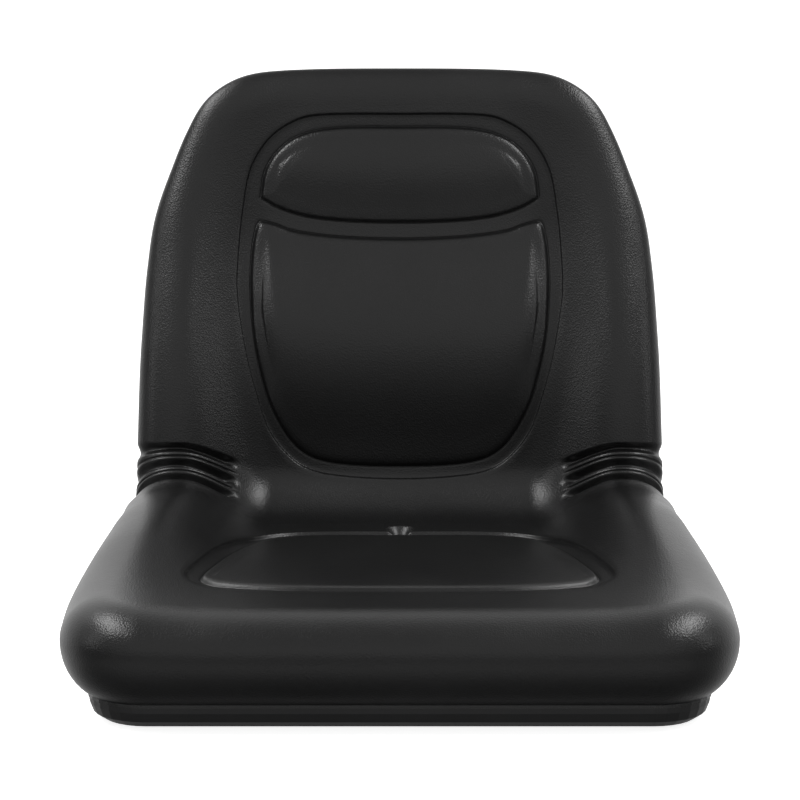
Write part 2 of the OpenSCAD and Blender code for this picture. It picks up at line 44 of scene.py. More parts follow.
# Sizes shared with the CAD model
CREASE_DEPTH, CREASE_H = 418.0, 80.0
SEAT_FRONT_H, SEAT_HALF, CORNER_R, FRONT_ROLL = 95.0, 221.0, 25.0, 42.0
SEAT_RISE, SEAT_RISE_FRONT = 36.0, 5.0
BACK_TILT, BACK_LEN, BACK_HALF, BACK_THICK = 11.0, 354.0, 190.0, 42.0
WING_RISE, WING_RISE_TOP = 40.0, 9.0
HOLLOW_R, HOLLOW_SIDE_R = 50.0, 40.0
SHEET_T, RIM_H, RIM_UPRIGHT, RIM_ROUND, PAN_BEND_R = 2.0, 21.0, 6.0, 22.0, 60.0
FIELD_PRESS, SEAT_FIELD, BACK_FIELD = 4.0, 0.55, 0.74
TRIM_T = 1.2
PATTERN_SETBACK, DRAIN_DEPTH = 223.0, 359.0

# Slope of the seat, and the turn of the hollow between seat and back
SEAT_TILT = math.atan((SEAT_FRONT_H - CREASE_H) / (CREASE_DEPTH - FRONT_ROLL))
TILT = math.radians(BACK_TILT)
TURN = math.pi / 2 - TILT + SEAT_TILT
ALONG_SEAT = np.array([math.cos(SEAT_TILT), -math.sin(SEAT_TILT)])
ALONG_BACK = np.array([math.sin(TILT), math.cos(TILT)])
OFF_SEAT = np.array([math.sin(SEAT_TILT), math.cos(SEAT_TILT)])
OFF_BACK = np.array([-math.cos(TILT), math.sin(TILT)])
CREASE = np.array([CREASE_DEPTH, CREASE_H])

# Where the bolsters' inner foot and outer crest lie: share of the length, then half width
SEAT_FOOT = [(0, 150), (0.6, 125), (1, 108)]
SEAT_CREST = [(0, 232), (0.5, 212), (1, 187)]
WING_FOOT = [(0, 108), (0.4, 125), (1, 84)]
WING_CREST = [(0, 187), (0.5, 184), (0.8, 176), (1, 160)]


# Small helpers
def ease(t):
    t = np.clip(t, 0, 1)
    return t * t * (3 - 2 * t)


def bump(u):
    return np.where(np.abs(u) < 1, (1 + np.cos(np.pi * np.clip(u, -1, 1))) / 2, 0)


def unit(v):
    return v / np.linalg.norm(v, axis=-1, keepdims=True)


def curve(points, x):
    """A smooth curve through points given as (position, value)."""
    px, py = np.array(points, float).T
    h = np.diff(px)
    d = np.diff(py) / h
    g = np.zeros(len(px))
    g[0], g[-1] = d[0], d[-1]
    a, b = d[:-1], d[1:]
    same = a * b > 0
    g[1:-1] = np.where(same, 2 * a * b / np.where(same, a + b, 1), 0)
    x = np.clip(x, px[0], px[-1])
    i = np.clip(np.searchsorted(px, x, side="right") - 1, 0, len(h) - 1)
    t = (x - px[i]) / h[i]
    w = 1 - t
    return (py[i] * (1 + 2 * t) * w * w + g[i] * h[i] * t * w * w
            + py[i + 1] * t * t * (3 - 2 * t) - g[i + 1] * h[i] * t * t * w)


# The cushion's top, swept across columns.
# v runs up the seat (0 to 1), the hollow (1 to 2) and the back (2 to 3).
def side_rise(x, q):
    foot, crest = curve(SEAT_FOOT, q), curve(SEAT_CREST, q)
    height = SEAT_RISE_FRONT + (SEAT_RISE - SEAT_RISE_FRONT) * ease(q)
    return height * ease((np.abs(x) - foot) / (crest - foot))


def wing(x, c):
    foot, crest = curve(WING_FOOT, c), curve(WING_CREST, c)
    height = WING_RISE + (WING_RISE_TOP - WING_RISE) * ease(c)
    return height * ease((np.abs(x) - foot) / (crest - foot))


def bend_r(x):
    foot, crest = SEAT_FOOT[-1][1], SEAT_CREST[-1][1]
    return HOLLOW_R + (HOLLOW_SIDE_R - HOLLOW_R) * ease((np.abs(x) - foot) / (crest - foot))


def cross2(a, b):
    return a[..., 0] * b[..., 1] - a[..., 1] * b[..., 0]


def meet(x):
    s = CREASE + side_rise(x, 1.0)[..., None] * np.array([0.0, 1.0])
    p = CREASE + OFF_BACK * wing(x, 0.0)[..., None]
    return s + ALONG_SEAT * (cross2(p - s, ALONG_BACK) / cross2(ALONG_SEAT, ALONG_BACK))[..., None]


def reach(x):
    return bend_r(x) * math.tan(TURN / 2)


def seat_end(x):
    return meet(x)[..., 0] - reach(x) * ALONG_SEAT[0]


def back_start(x):
    return (meet(x) - CREASE) @ ALONG_BACK + reach(x)


def top(x, v):
    x, v = np.broadcast_arrays(np.asarray(x, float), np.asarray(v, float))
    m, r, d = meet(x), bend_r(x), reach(x)
    y = FRONT_ROLL + (seat_end(x) - FRONT_ROLL) * v
    seat = np.stack([y, CREASE_H - (y - CREASE_DEPTH) * math.tan(SEAT_TILT) + side_rise(x, v)], -1)
    a = ((v - 1) * TURN)[..., None]
    centre = m - ALONG_SEAT * d[..., None] + OFF_SEAT * r[..., None]
    bend = centre + r[..., None] * (ALONG_SEAT * np.sin(a) - OFF_SEAT * np.cos(a))
    start = back_start(x)
    t = start + (BACK_LEN - start) * (v - 2)
    back = CREASE + ALONG_BACK * t[..., None] + OFF_BACK * wing(x, v - 2)[..., None]
    yz = np.where((v <= 1)[..., None], seat, np.where((v <= 2)[..., None], bend, back))
    return np.concatenate([x[..., None], yz], -1)


def top_normal(x, v):
    x, v = np.asarray(x, float), np.asarray(v, float)
    return unit(np.cross(top(x + 0.5, v) - top(x - 0.5, v), top(x, v + 0.002) - top(x, v - 0.002)))


# Side pleats: three folds, with a fine line along each of the two pleats between
FOLDS = (0.42, 0.66, 0.90)
FOLD_W, LINE_AFTER, LINE_W = 0.08, 0.115, 0.022
FOLD_DEPTH, LINE_DEPTH, PLEAT_START, PLEAT_FADE = 7.0, 1.6, 138.0, 9.0


def pleat(x, v):
    folds = sum(bump((v - 1 - c) / FOLD_W) for c in FOLDS)
    lines = sum(bump((v - 1 - c - LINE_AFTER) / LINE_W) for c in FOLDS[:2])
    return -ease((np.abs(x) - PLEAT_START) / PLEAT_FADE) * (FOLD_DEPTH * folds + LINE_DEPTH * lines)


# Places on the flat pattern of the middle column: distance along it, turned into v and back
ZERO = np.array(0.0)
SEAT_LEN = float(seat_end(ZERO) - FRONT_ROLL) / math.cos(SEAT_TILT)
HOLLOW_LEN = HOLLOW_R * TURN
BACK_RUN = BACK_LEN - float(back_start(ZERO))


def v_of(s):
    s = np.asarray(s, float)
    return np.where(s < SEAT_LEN, s / SEAT_LEN,
                    np.where(s < SEAT_LEN + HOLLOW_LEN, 1 + (s - SEAT_LEN) / HOLLOW_LEN,
                             2 + (s - SEAT_LEN - HOLLOW_LEN) / BACK_RUN))


def s_of(v):
    return np.where(v < 1, SEAT_LEN * v, np.where(v < 2, SEAT_LEN + HOLLOW_LEN * (v - 1),
                                                  SEAT_LEN + HOLLOW_LEN + BACK_RUN * (v - 2)))


# Swell of the lower back, which fades out on the wings. It sits a little higher than the solid's.
LUMBAR_RISE, LUMBAR_AT, LUMBAR_HALF, LUMBAR_EDGE, LUMBAR_FADE = 14.0, 98.0, 120.0, 105.0, 70.0


def lumbar(x, v):
    swell = bump((s_of(v) - SEAT_LEN - HOLLOW_LEN - LUMBAR_AT) / LUMBAR_HALF)
    return LUMBAR_RISE * swell * (1 - ease((np.abs(x) - LUMBAR_EDGE) / LUMBAR_FADE))


def skin(x, v, lift=0.0):
    rise = np.asarray(lift, float) + pleat(x, v) + lumbar(x, v)
    return top(x, v) + top_normal(x, v) * rise[..., None]


# Paths through points, and their even stations
PATH_STEPS = 12


def flip(p):
    return p * np.array([-1.0] + [1.0] * (len(p) - 1))


def headings(p, sharp=()):
    """Direction at each point of a half loop. A loop that starts or ends on the middle is mirrored there."""
    out = np.zeros_like(p)
    last = len(p) - 1
    for i in range(len(p)):
        before = p[i - 1] if i > 0 else flip(p[1]) if abs(p[0][0]) < 1e-9 else p[0]
        after = p[i + 1] if i < last else flip(p[i - 1]) if abs(p[last][0]) < 1e-9 else p[last]
        out[i] = (after - before) / (np.linalg.norm(after - p[i]) + np.linalg.norm(p[i] - before))
    return out


def smooth(p, steps):
    """Points of a smooth path through p, with that many steps from each point to the next."""
    p = np.array(p, float)
    g = headings(p)
    out = []
    for i in range(len(p) - 1):
        h = np.linalg.norm(p[i + 1] - p[i])
        t = (np.arange(steps) / steps)[:, None]
        w = 1 - t
        out.append(p[i] * (1 + 2 * t) * w * w + g[i] * h * t * w * w
                   + p[i + 1] * t * t * (3 - 2 * t) - g[i + 1] * h * t * t * w)
    return np.concatenate(out + [p[-1:]])


def even(p, n):
    d = np.concatenate([[0], np.cumsum(np.linalg.norm(np.diff(p, axis=0), axis=1))])
    at = d[-1] * np.arange(n + 1) / n
    return np.stack([np.interp(at, d, p[:, 0]), np.interp(at, d, p[:, 1])], -1)


def stations(points, cuts, counts):
    p = smooth(points, PATH_STEPS)
    runs = [even(p[a * PATH_STEPS:b * PATH_STEPS + 1], n) for a, b, n in zip(cuts, cuts[1:], counts)]
    return np.concatenate([runs[0]] + [r[1:] for r in runs[1:]])


def cornered(points, corner, counts):
    first = even(smooth(points[:corner + 1], PATH_STEPS), counts[0])
    return np.concatenate([first, even(smooth(points[corner:], PATH_STEPS), counts[1])[1:]])


def finer(p, sharp=()):
    """The loop with FINE steps where it had one, its sharp points kept sharp."""
    cuts = [0] + list(sharp) + [len(p) - 1]
    runs = [smooth(p[a:b + 1], FINE) for a, b in zip(cuts, cuts[1:])]
    return np.concatenate([runs[0]] + [r[1:] for r in runs[1:]])


def straight(values):
    """A list of numbers with FINE even steps where it had one."""
    values = np.array(values, float)
    return np.interp(np.arange((len(values) - 1) * FINE + 1) / FINE, np.arange(len(values)), values)


# Outer edge of the cushion's top face, right half, as (x, v)
FINE = 4
FRONT_N, CORNER_N, SIDE_N, BACK_SIDE_N, BACK_CORNER_N, TOP_N = 8, 7, 9, 9, 10, 5
AT_SIDE = np.array(BACK_HALF)
seat_side = [(SEAT_HALF, FRONT_ROLL + CORNER_R), (220.5, 110), (217, 150), (209, 209), (203, 245),
             (196.5, 281), (192.5, 316), (BACK_HALF, float(seat_end(AT_SIDE)))]
back_side = [(BACK_HALF, float(back_start(AT_SIDE))), (188, 150), (181, 236), (163, 292), (152.5, 318),
             (142, 336), (124, 347.5), (97, 352), (62, 353.6), (0, BACK_LEN)]


def seat_v(p):
    return np.stack([p[:, 0], (p[:, 1] - FRONT_ROLL) / (seat_end(p[:, 0]) - FRONT_ROLL)], -1)


def back_v(p):
    start = back_start(p[:, 0])
    return np.stack([p[:, 0], 2 + (p[:, 1] - start) / (BACK_LEN - start)], -1)


def seat_edge_line():
    straight_half = SEAT_HALF - CORNER_R
    front = np.stack([straight_half * np.arange(FRONT_N * FINE + 1) / (FRONT_N * FINE),
                      np.full(FRONT_N * FINE + 1, FRONT_ROLL)], -1)
    a = math.pi / 2 * np.arange(1, CORNER_N * FINE + 1) / (CORNER_N * FINE)
    corner = np.stack([straight_half + CORNER_R * np.sin(a), FRONT_ROLL + CORNER_R * (1 - np.cos(a))], -1)
    side = stations(seat_side, [0, 7], [SIDE_N * FINE])[1:]
    return seat_v(np.concatenate([front, corner, side]))


seat_edge = seat_edge_line()
fold_rows = (0, 0.07, LINE_AFTER, 0.14, 0.18)
bend_rows = straight([0, 0.2, 0.34] + [c + r for c in FOLDS[:2] for r in fold_rows] + [FOLDS[2], 0.96, 1])
bend_edge = np.stack([np.full(len(bend_rows), BACK_HALF), 1 + bend_rows], -1)
back_edge = back_v(stations(back_side, [0, 3, 7, 9],
                            [BACK_SIDE_N * FINE, BACK_CORNER_N * FINE, TOP_N * FINE]))
edge = np.concatenate([seat_edge, bend_edge[1:], back_edge[1:]])
edge_x, edge_v = edge[:, 0], edge[:, 1]


# Frame at each station of the edge: point, outward direction and normal
def ways(line):
    before = np.concatenate([[flip(line[1])], line[:-1]])
    after = np.concatenate([line[1:], [flip(line[-2])]])
    return unit(unit(after - line) + unit(line - before))


def softened(v, reach_n):
    """Directions averaged along a half loop, which is mirrored at both ends."""
    ext = np.concatenate([[flip(p) for p in v[reach_n:0:-1]], v, [flip(p) for p in v[-2:-2 - reach_n:-1]]])
    kernel = np.hanning(2 * reach_n + 3)[1:-1]
    return np.stack([np.convolve(ext[:, k], kernel / kernel.sum(), "valid") for k in range(v.shape[1])], -1)


edge_p = top(edge_x, edge_v)
edge_n = top_normal(edge_x, edge_v)
raw_out = softened(unit(np.cross(ways(edge_p), edge_n)), 2 * FINE)
edge_out = unit(raw_out - edge_n * np.sum(raw_out * edge_n, -1, keepdims=True))

# The pan's profile: flat under the seat, a bend, then flat behind the back. p runs along it.
PAN_TURN = math.pi / 2 - TILT
pan_foot = CREASE - OFF_BACK * BACK_THICK
pan_corner = pan_foot - ALONG_BACK * pan_foot[1] / ALONG_BACK[1]
PAN_REACH = PAN_BEND_R * math.tan(PAN_TURN / 2)
BEND_FROM = pan_corner[0] - PAN_REACH
BEND_TO = BEND_FROM + PAN_BEND_R * PAN_TURN


def pan_angle(p):
    return np.clip((p - BEND_FROM) / PAN_BEND_R, 0, PAN_TURN)


def pan_at(q, h):
    """A place on the pan: across, along its profile, and up from its outer face."""
    p, a = q[:, 1], pan_angle(q[:, 1])
    bent = np.stack([BEND_FROM + PAN_BEND_R * np.sin(a), PAN_BEND_R * (1 - np.cos(a))], -1)
    flat_line = np.stack([p, 0 * p], -1)
    back_line = pan_corner + ALONG_BACK * (PAN_REACH + p - BEND_TO)[:, None]
    line = np.where((p <= BEND_FROM)[:, None], flat_line, np.where((p < BEND_TO)[:, None], bent, back_line))
    return np.stack([q[:, 0], line[:, 0] - h * np.sin(a), line[:, 1] + h * np.cos(a)], -1)


def pan_p(t):
    return BEND_TO + t - (pan_corner - CREASE) @ ALONG_BACK - PAN_REACH


def rim_stations():
    seat_to = float(top(BACK_HALF, 1.0)[1])
    back_from_p = float(pan_p(back_start(AT_SIDE)))
    on_back = pan_p((edge_p[:, 1:] - CREASE) @ ALONG_BACK)
    p = np.where(edge_v <= 1, edge_p[:, 1],
                 np.where(edge_v < 2, seat_to + (back_from_p - seat_to) * (edge_v - 1), on_back))
    return np.stack([edge_p[:, 0], p], -1)


edge_q = rim_stations()
q_way = ways(edge_q)
edge_qout = unit(softened(np.stack([q_way[:, 1], -q_way[:, 0]], -1), FINE))
rim_out = curve([(0, 20), (0.25, 22), (1, 20), (2, 18), (3, 16)], edge_v)


def rim_loop(inset, h):
    return pan_at(edge_q + edge_qout * (rim_out - inset)[:, None], h)


# Edge roll of the cushion, from its top face round to the rim
roll_out = curve([(0, FRONT_ROLL), (0.7, 41.5), (0.9, 43), (1.05, 43.5), (1.25, 39), (1.4, 35), (2, 34),
                  (3, 30)], edge_v)
roll_widest = curve([(0, 0.48), (0.5, 0.36), (1, 0.28), (1.5, 0.3), (2, 0.38), (3, 0.45)], edge_v)
PLEAT_AT_SIDE, TUCK = 0.4, math.radians(60)
UPPER_N, LOWER_N = 16, 10
TRIM_TOP = RIM_H + TRIM_T
roll_foot = rim_loop(-TRIM_T, TRIM_TOP)
to_foot = roll_foot - edge_p
roll_end = np.sum(to_foot * edge_out, -1)
roll_drop = to_foot - edge_out * roll_end[:, None]
edge_pleat = pleat(edge_x, edge_v)


def upper_roll(a):
    share = 1 + (PLEAT_AT_SIDE - 1) * a / (math.pi / 2)
    return (edge_p + edge_out * (roll_out * math.sin(a))[:, None]
            + roll_drop * (roll_widest * (1 - math.cos(a)))[:, None]
            + (edge_n * math.cos(a) + edge_out * math.sin(a)) * (edge_pleat * share)[:, None])


def lower_roll(a):
    share = (1 - math.cos(a)) / (1 - math.cos(TUCK))
    drop = roll_widest + (1 - roll_widest) * math.sin(a) / math.sin(TUCK)
    side = roll_out + (roll_end - roll_out) * share + edge_pleat * PLEAT_AT_SIDE * (1 - share)
    return edge_p + edge_out * side[:, None] + roll_drop * drop[:, None]


def roll_rows():
    rows = [upper_roll(math.pi / 2 * k / UPPER_N) for k in range(UPPER_N + 1)]
    rows += [lower_roll(TUCK * k / LOWER_N) for k in range(1, LOWER_N)]
    return rows + [roll_foot]


# A closed outline moved outward by a distance, given its right half
def offset_half(p, d):
    before = np.concatenate([[flip(p[1])], p[:-1]])
    after = np.concatenate([p[1:], [flip(p[-2])]])
    a, b = unit(p - before), unit(after - p)
    w = unit(a + b)
    grow = d / np.maximum(0.5, np.sum(w * a, -1))
    q = p + np.stack([w[:, 1], -w[:, 0]], -1) * grow[:, None]
    q[np.abs(p[:, 0]) < 1e-9, 0] = 0
    return q


# Outlines of the seat's and the back's panels, on the flat pattern, as (x, s)
seat_outline = [(0, 58.5), (78, 60.5), (118, 67.5), (148, 81), (164, 96), (169, 114), (158, 175), (143, 232),
                (125, 270), (98, 293), (62, 300), (0, 300)]
group_outline = [(0, 394), (50, 396.5), (80, 403), (100, 419), (112, 437), (123, 462), (132, 489),
                 (137.5, 522), (139.5, 550), (138, 575), (132.5, 626), (126, 659), (110, 685), (87, 700),
                 (66, 704), (0, 704.5)]
bar_line = [(0, 605.5), (60, 607.5), (92, 613), (112, 619.5), (132.5, 626)]
low_outline = [(0, 403), (50, 405), (76, 411), (92, 423), (105, 443), (115, 466), (125.5, 510),
               (129, 552), (127.5, 580), (124, 603), (120, 613), (112, 613.5), (97, 607.5), (76, 603.5),
               (46, 600.5), (0, 599)]
high_outline = [(0, 612), (50, 613.5), (84, 618), (106, 625.5), (119, 633), (116, 655), (106, 673), (88, 687),
                (58, 694), (0, 695)]
BAR_N, LOW_N, SHOULDER, BAND_W = 9, 19, 2.5, 11.0
BAND_DEPTH, PANEL_CREASE = 3.0, 4.0
SEAT_CROWN, LOW_CROWN, HIGH_CROWN, CROWN_POWER = 3.0, 5.0, 3.0, 1.3

# Cross-sections, as (distance inward, lift): from the surrounding skin down to the band, and up onto a panel
DOWN_TO_BAND = [(0, 0), (0.6, -0.25), (1.9, -2.75), (2.5, -BAND_DEPTH)]
ALONG_BAND = [(0, -BAND_DEPTH), (0.85, -BAND_DEPTH - 0.05), (0.95, -3.3), (1, -PANEL_CREASE)]
ONTO_PANEL = [(0, -PANEL_CREASE), (0.8, -2.9), (2.2, -0.6), (5, 0.6), (11, 1.4)]
PANEL_LOOPS = (0, 0.4, 0.8, 1.4, 2.2, 3.2, 5, 7.5, 11)
BAND_SHARES = (0, 0.3, 0.6, 0.8, 0.9, 0.96, 1)
SHOULDER_STEPS = (0, 0.5, 1, 1.5, 2, 2.5)
RING_N, FILL_N = 10, 24
patches = []


def flat_pattern(p, lift=0.0):
    return skin(p[:, 0], v_of(p[:, 1]), lift)


def patch(rows):
    patches.append(np.array(rows))


def ring(outer, inner):
    """From an outer boundary, as (x, v), in to an outline on the flat pattern."""
    inner = np.stack([inner[:, 0], v_of(inner[:, 1])], -1)
    rows = []
    for k in range(RING_N + 1):
        e = outer + (inner - outer) * k / RING_N
        rows.append(skin(e[:, 0], e[:, 1]))
    patch(rows)


def shoulder(outline, sharp=()):
    patch([flat_pattern(finer(offset_half(outline, SHOULDER - d), sharp), curve(DOWN_TO_BAND, d))
           for d in SHOULDER_STEPS])


def band(outer, inner):
    patch([flat_pattern(outer + (inner - outer) * s, curve(ALONG_BAND, s)) for s in BAND_SHARES])


def panel(outline, rise, sharp=()):
    """Rounded edge of a panel, then a crowned fill between its two halves."""
    loops = [finer(offset_half(outline, -d), sharp) for d in PANEL_LOOPS]
    patch([flat_pattern(p, curve(ONTO_PANEL, d)) for p, d in zip(loops, PANEL_LOOPS)])
    p = loops[-1]
    m = (len(p) - 1) // 2
    near, far = p[:m + 1], p[::-1][:m + 1]
    away = 1 - (np.arange(m + 1) / m) ** 3
    rows = []
    for j in range(FILL_N + 1):
        s = j / FILL_N
        crown = (4 * s * (1 - s)) ** CROWN_POWER
        rows.append(flat_pattern(near + (far - near) * s, ONTO_PANEL[-1][1] + rise * crown * away))
    patch(rows)


# Columns of the hollow's grid, and its upper limit, which dips under the back's panels
DIP_EDGE, DIP_FADE = 98, 38
hollow_x = straight([0, 22, 44, 66, 88, 108, 126, PLEAT_START, PLEAT_START + 7, PLEAT_START + 16,
                     PLEAT_START + 27, PLEAT_START + 39, BACK_HALF])


def hollow_v(x):
    return 1.5 + 0.5 * ease((x - DIP_EDGE) / DIP_FADE)


def cushion_top():
    hollow_low = np.stack([hollow_x, np.ones(len(hollow_x))], -1)
    hollow_high = np.stack([hollow_x, hollow_v(hollow_x)], -1)
    patch([skin(hollow_x, 1 + (hollow_v(hollow_x) - 1) * b) for b in bend_rows])

    boundary = np.concatenate([seat_edge, hollow_low[::-1][1:]])
    half_n = (len(boundary) - 1) // FINE // 2
    seat_band = stations(seat_outline, [0, 5, 11], [half_n, half_n])
    ring(boundary, finer(offset_half(seat_band, SHOULDER)))
    shoulder(seat_band)
    inner = offset_half(seat_band, -BAND_W)
    band(finer(seat_band), finer(inner))
    panel(inner, SEAT_CROWN)

    boundary = np.concatenate([hollow_high, back_edge[1:]])
    group_n = (len(boundary) - 1) // FINE
    high_n = group_n - LOW_N
    group = stations(group_outline, [0, 10, 15], [LOW_N, high_n])
    bar = stations(bar_line, [0, 4], [BAR_N])
    ring(boundary, finer(offset_half(group, SHOULDER), [LOW_N]))
    shoulder(group, [LOW_N])
    low_loop = np.concatenate([group[:LOW_N + 1], bar[::-1][1:]])
    high_loop = np.concatenate([bar, group[LOW_N + 1:]])
    low_panel = stations(low_outline, [0, 10, 15], [LOW_N, BAR_N])
    high_panel = cornered(high_outline, 4, [BAR_N, high_n])
    band(finer(low_loop, [LOW_N]), finer(low_panel))
    panel(low_panel, LOW_CROWN)
    band(finer(high_loop, [BAR_N]), finer(high_panel, [BAR_N]))
    panel(high_panel, HIGH_CROWN, sharp=[BAR_N])


# Foam's underside: down the trim's inner leg, round the rim's foot and across the pan
FOOT_N = 5
RIM_FOOT_H = RIM_H - RIM_UPRIGHT
TRIM_INNER = SHEET_T + TRIM_T
CLEAR, FIELD_EDGE = 0.15, 0.95


def foot_rows():
    rows = [roll_foot, rim_loop(TRIM_INNER + CLEAR, TRIM_TOP), rim_loop(TRIM_INNER + CLEAR, RIM_FOOT_H)]
    for k in range(1, FOOT_N + 1):
        a = math.pi / 2 * k / FOOT_N
        rows.append(rim_loop(SHEET_T + CLEAR + (RIM_ROUND - SHEET_T) * (1 - math.cos(a)),
                             SHEET_T + CLEAR + (RIM_FOOT_H - SHEET_T) * (1 - math.sin(a))))
    return rows


def on_middle(p):
    return np.array([0.0, p[1], p[2]])


def flat_field(line, up, share):
    """A flat with a field pressed in at its middle, closed at its centre."""
    centre = on_middle((line[0] + line[-1]) / 2)
    outer = centre + (line - centre) * share
    inner = centre + (line - centre) * share * FIELD_EDGE + up
    patch([line, outer, inner, np.tile(centre + up, (len(line), 1))])


def floor_patches(loop):
    flat_to = int(np.sum(edge_q[:, 1] <= BEND_FROM)) - 1
    back_from = int(np.sum(edge_q[:, 1] < BEND_TO))
    low, high = loop[:flat_to + 1], loop[back_from:]
    flat_field(np.concatenate([low, [on_middle(low[-1])]]), np.array([0, 0, FIELD_PRESS]), SEAT_FIELD)
    press = np.concatenate([[0.0], OFF_BACK]) * FIELD_PRESS
    flat_field(np.concatenate([[on_middle(high[0])], high]), press, BACK_FIELD)
    across = loop[flat_to:back_from + 1]
    patch([[on_middle(p) for p in across], across])


def cushion_mesh():
    cushion_top()
    patch(roll_rows())
    rows = foot_rows()
    patch(rows)
    floor_patches(rows[-1])
    return weld(patches, "seat_cushion")


# Dimple round the drain, sunk into finer faces than those of the seat round it.
# It runs out further to the front, over the rear edge of the seat's panel.
DIMPLE_DEPTH, DIMPLE_R, DIMPLE_FLOOR_R, DIMPLE_FRONT_R = 8.0, 13.0, 4.0, 28.0
DIMPLE_REACH, DIMPLE_CUTS = 21.0, 3
DRAIN_Y = (DRAIN_DEPTH - PATTERN_SETBACK) * MM


def from_drain(at):
    """Distance from the drain, made smaller in front of it, and none below the cushion's top."""
    along = at.y - DRAIN_Y
    if along < 0:
        along *= DIMPLE_R / DIMPLE_FRONT_R
    return math.hypot(at.x, along) / MM if at.z > RIM_H * 2 * MM else math.inf


def sink_dimple(bm):
    near = [f for f in bm.faces if from_drain(f.calc_center_median()) < DIMPLE_REACH]
    bmesh.ops.subdivide_edges(bm, edges=list({e for f in near for e in f.edges}), cuts=DIMPLE_CUTS,
                              use_grid_fill=True)
    for v in bm.verts:
        far = from_drain(v.co)
        if far < DIMPLE_R:
            up = float(ease((far - DIMPLE_FLOOR_R) / (DIMPLE_R - DIMPLE_FLOOR_R)))
            v.co.z -= DIMPLE_DEPTH * MM * (1 - up)


def weld(grids, name):
    """One closed mesh of the patches and their mirror images."""
    bm = bmesh.new()
    for side in (1, -1):
        for g in grids:
            rows, cols = g.shape[:2]
            pts = (g - np.array([0, PATTERN_SETBACK, 0])) * np.array([side, 1, 1]) * MM
            verts = [[bm.verts.new(pts[i, j]) for j in range(cols)] for i in range(rows)]
            for i in range(rows - 1):
                for j in range(cols - 1):
                    bm.faces.new((verts[i][j], verts[i][j + 1], verts[i + 1][j + 1], verts[i + 1][j]))
    bmesh.ops.remove_doubles(bm, verts=bm.verts, dist=0.02 * MM)
    sink_dimple(bm)
    bmesh.ops.recalc_face_normals(bm, faces=bm.faces)
    for f in bm.faces:
        f.smooth = True
    open_edges = sum(1 for e in bm.edges if len(e.link_faces) != 2)
    print(name, "faces", len(bm.faces), "open or doubled edges", open_edges)
    mesh = bpy.data.meshes.new(name)
    bm.to_mesh(mesh)
    bm.free()
    obj = bpy.data.objects.new(name, mesh)
    bpy.context.scene.collection.objects.link(obj)
    return obj


cushion = cushion_mesh()
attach(cushion, "root")
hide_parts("cushion")


# Materials
def new_material(name):
    m = bpy.data.materials.new(name)
    m.use_nodes = True
    tree = m.node_tree
    tree.nodes.clear()
    out = tree.nodes.new("ShaderNodeOutputMaterial")
    bsdf = tree.nodes.new("ShaderNodeBsdfPrincipled")
    tree.links.new(bsdf.outputs["BSDF"], out.inputs["Surface"])
    return m, tree, bsdf


def coords(tree):
    return tree.nodes.new("ShaderNodeTexCoord").outputs["Object"]


def noise(tree, vector, scale, detail=2.0, rough=0.5):
    n = tree.nodes.new("ShaderNodeTexNoise")
    n.inputs["Scale"].default_value = scale
    n.inputs["Detail"].default_value = detail
    n.inputs["Roughness"].default_value = rough
    tree.links.new(vector, n.inputs["Vector"])
    return n.outputs["Fac"]


def mapped(tree, value, low, high, to_low, to_high):
    n = tree.nodes.new("ShaderNodeMapRange")
    for key, number in (("From Min", low), ("From Max", high), ("To Min", to_low), ("To Max", to_high)):
        n.inputs[key].default_value = number
    tree.links.new(value, n.inputs["Value"])
    return n.outputs["Result"]


def raised(tree, height, distance, strength, normal=None):
    n = tree.nodes.new("ShaderNodeBump")
    n.inputs["Distance"].default_value = distance
    n.inputs["Strength"].default_value = strength
    tree.links.new(height, n.inputs["Height"])
    if normal is not None:
        tree.links.new(normal, n.inputs["Normal"])
    return n.outputs["Normal"]


def tint(tree, value, dark, light):
    n = tree.nodes.new("ShaderNodeMix")
    n.data_type = "RGBA"
    n.inputs[6].default_value = (*dark, 1)
    n.inputs[7].default_value = (*light, 1)
    tree.links.new(value, n.inputs[0])
    return n.outputs[2]


def pebbles(tree, vector, scale):
    n = tree.nodes.new("ShaderNodeTexVoronoi")
    n.inputs["Scale"].default_value = scale
    tree.links.new(vector, n.inputs["Vector"])
    return n.outputs["Distance"]


VINYL_DARK, VINYL_LIGHT = (0.0032, 0.0032, 0.0033), (0.0052, 0.0052, 0.0053)


def vinyl():
    m, tree, bsdf = new_material("vinyl")
    at = coords(tree)
    broad = noise(tree, at, 9.0, 3.0)
    fine = noise(tree, at, 900.0, 2.0)
    tree.links.new(tint(tree, broad, VINYL_DARK, VINYL_LIGHT), bsdf.inputs["Base Color"])
    tree.links.new(mapped(tree, broad, 0.3, 0.7, 0.30, 0.36), bsdf.inputs["Roughness"])
    normal = raised(tree, pebbles(tree, at, 700.0), 0.0003, 0.5)
    normal = raised(tree, fine, 0.0001, 0.25, normal)
    normal = raised(tree, noise(tree, at, 60.0, 3.0), 0.0006, 0.2, normal)
    tree.links.new(normal, bsdf.inputs["Normal"])
    return m


def plain(name, dark, light, rough_low, rough_high, scale, metallic=0.0):
    m, tree, bsdf = new_material(name)
    at = coords(tree)
    broad, fine = noise(tree, at, 14.0, 3.0), noise(tree, at, scale, 2.0)
    tree.links.new(tint(tree, broad, dark, light), bsdf.inputs["Base Color"])
    tree.links.new(mapped(tree, fine, 0.3, 0.7, rough_low, rough_high), bsdf.inputs["Roughness"])
    bsdf.inputs["Metallic"].default_value = metallic
    tree.links.new(raised(tree, fine, 0.0001, 0.3), bsdf.inputs["Normal"])
    return m


def dress(obj, material):
    obj.data.materials.clear()
    obj.data.materials.append(material)


dress(cushion, vinyl())
